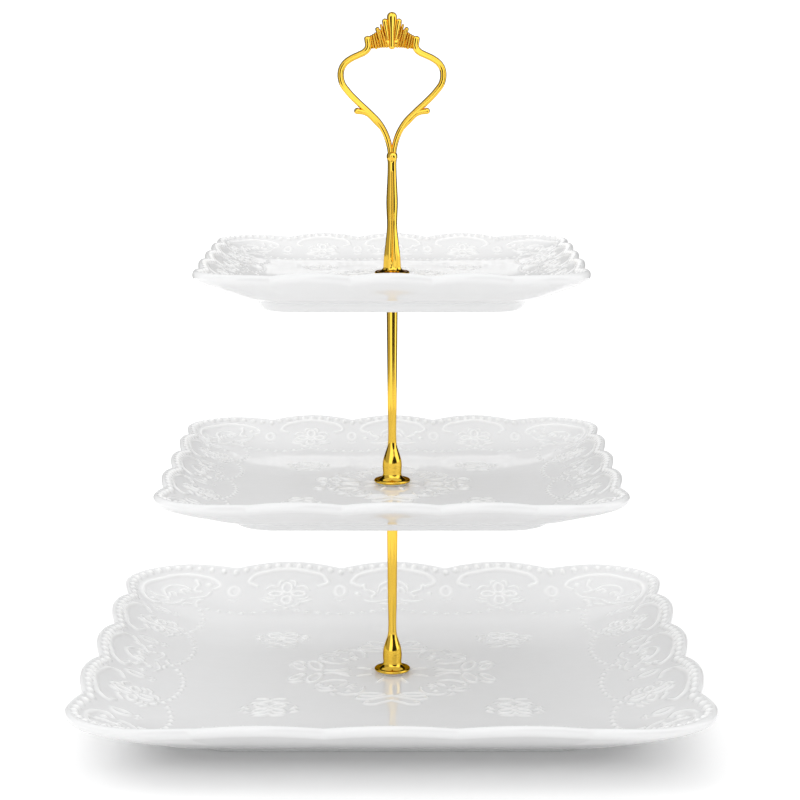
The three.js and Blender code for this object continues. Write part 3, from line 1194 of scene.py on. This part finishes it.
low, high = nodeBox("crown_handle")
points, faces = handleMesh(low[2])
points[:, 2] = np.minimum(points[:, 2], high[2])
makePiece("crown_handle_gold", points, faces, "handle", "crown_handle", "gold")
print(f"handle: {len(faces)} faces")


studio = {
    "floor": (0.86, 0.86, 0.86, 1),
    "floorShade": (0.80, 0.80, 0.80, 1),
    "floorGlow": 0.09,
    "sky": (1.0, 1.0, 1.0, 1),
    "skyStrength": 1.0,
    "floorWide": 5,  # each side of its middle
    "bendStart": 1.8,  # how far behind the table's middle the floor starts to turn up
    "bendRadius": 1.2,
    "tent": 0.9,  # radius
    "tentTurn": 30,  # degrees that the dark middle of its front is turned to the right
    "tentGlow": 1.5,
    "tentSides": [  # from its left back to its right front, and brightness
        (0.00, 0.30), (0.60, 0.30), (0.70, 1.0), (0.905, 1.0), (0.93, 0.02), (1.00, 0.02),
    ],
    "tentBack": [  # the same from its front to its back
        (0.00, 1.0), (0.60, 1.0), (0.68, 0.03), (0.925, 0.03), (0.95, 0.9), (1.00, 0.9),
    ],
}


def makeFloorFinish():
    f = Finish("paleFloor")
    spot = f.place()
    cloud = f.noise(spot, 3, 2)
    body = f.mix(cloud * 0.05, studio["floor"], studio["floorShade"])
    return f.surface({
        "Base Color": body,
        "Roughness": 0.7 + cloud * 0.1,
        "Specular IOR Level": 0.0,
        "Emission Color": (1, 1, 1, 1),
        "Emission Strength": studio["floorGlow"],
    })


def makeFloor():
    # a sweep: flat, then up behind in one curve
    start = studio["bendStart"]
    r = studio["bendRadius"]
    bend = [(-4, 0), (-2, 0), (0, 0), (start, 0)]
    for i in range(1, 17):
        angle = i / 16 * math.pi / 2
        bend.append((start + r * math.sin(angle), r - r * math.cos(angle)))
    bend.append((start + r, 4.0))
    wide = studio["floorWide"]
    points = []
    for y, z in bend:
        points += [(-wide, y, z), (wide, y, z)]
    faces = [[2 * i, 2 * i + 1, 2 * i + 3, 2 * i + 2] for i in range(len(bend) - 1)]
    mesh = bpy.data.meshes.new("floor")
    mesh.from_pydata(points, [], faces)
    mesh.shade_smooth()
    mesh.materials.append(makeFloorFinish())
    floor = bpy.data.objects.new("floor", mesh)
    bpy.context.scene.collection.objects.link(floor)


def makeTent():
    # a banded tent over the table, which shows only in what is mirrored
    f = Finish("studioTent")
    spot = f.add("ShaderNodeTexCoord", output="Object")
    away = f.add("ShaderNodeVectorMath", {"operation": "NORMALIZE"}, {0: spot})
    turned = math.radians(studio["tentTurn"])
    darkest = (math.sin(turned), -math.cos(turned), 0)
    toDark = f.add("ShaderNodeVectorMath", {"operation": "DOT_PRODUCT"}, {0: away, 1: darkest}, 1)
    toBack = f.add("ShaderNodeSeparateXYZ", None, {0: away}, output="Y")
    sides = f.ramp(toDark * 0.5 + 0.5, studio["tentSides"])
    back = f.ramp(toBack * 0.5 + 0.5, studio["tentBack"])
    f.surface({
        "Base Color": (0, 0, 0, 1),
        "Roughness": 1.0,
        "Specular IOR Level": 0.0,
        "Emission Color": f.mix(back, (0, 0, 0, 1), sides),
        "Emission Strength": studio["tentGlow"],
    })
    half =[(math.sin(a), math.cos(a)) for a in np.linspace(0, math.pi / 2, 25)]
    points, faces = spin([(max(0, r), z) for r, z in half], 96)
    mesh = bpy.data.meshes.new("tent")
    mesh.from_pydata((points * studio["tent"]).tolist(), [], faces)
    mesh.shade_smooth()
    mesh.materials.append(f.material)
    tent = bpy.data.objects.new("tent", mesh)
    bpy.context.scene.collection.objects.link(tent)
    tent.visible_camera = False
    tent.visible_diffuse = False
    tent.visible_shadow = False
    tent.visible_transmission = False


lights = {  # place, what it points at, width, height, power in watts
    "top": ((0, 0.3, 1.7), (0, 0, 0.1), 1.4, 1.0, 1.6),
    "left": ((-1.3, 0.1, 1.1), (0, 0, 0.12), 1.0, 1.0, 5.5),
    "right": ((1.3, 0.1, 1.1), (0, 0, 0.12), 1.0, 1.0, 1.2),
    "front": ((0.1, -1.6, 1.3), (0, 0, 0.12), 1.4, 0.8, 3.5),
    "sweep": ((0, 1.5, 2.6), (0, 3.0, 0.6), 3.0, 1.0, 22),  # on the rising part of the floor
}


def addLight(name, place, aim, width, tall, power):
    lamp = bpy.data.lights.new(name, "AREA")
    lamp.shape = "RECTANGLE"
    lamp.size = width
    lamp.size_y = tall
    lamp.energy = power
    light = bpy.data.objects.new(name, lamp)
    light.location = place
    light.rotation_euler = (Vector(aim) - Vector(place)).to_track_quat("-Z", "Y").to_euler()
    light.visible_camera = False
    light.visible_glossy = False  # the gold and the glaze mirror the tent
    bpy.context.scene.collection.objects.link(light)


def makeWorld():
    world = bpy.data.worlds.new("studio")
    world.use_nodes = True
    back = world.node_tree.nodes["Background"]
    back.inputs["Color"].default_value = studio["sky"]
    back.inputs["Strength"].default_value = studio["skyStrength"]
    bpy.context.scene.world = world


camera = {
    "lens": 99.8,
    "place": (0.004, -1.117, 0.351),
    "tilt": 79.99,
}


def makeCamera():
    data = bpy.data.cameras.new("camera")
    data.lens = camera["lens"]
    data.clip_start = 0.05
    data.clip_end = 40
    eye = bpy.data.objects.new("camera", data)
    eye.location = camera["place"]
    eye.rotation_euler = (math.radians(camera["tilt"]), 0, 0)
    bpy.context.scene.collection.objects.link(eye)
    bpy.context.scene.camera = eye


makeCamera()
makeFloor()
makeTent()
makeWorld()
for name, facts in lights.items():
    addLight(name, *facts)
bpy.context.scene.view_settings.view_transform = "Standard"
print("floor, lights and camera set")
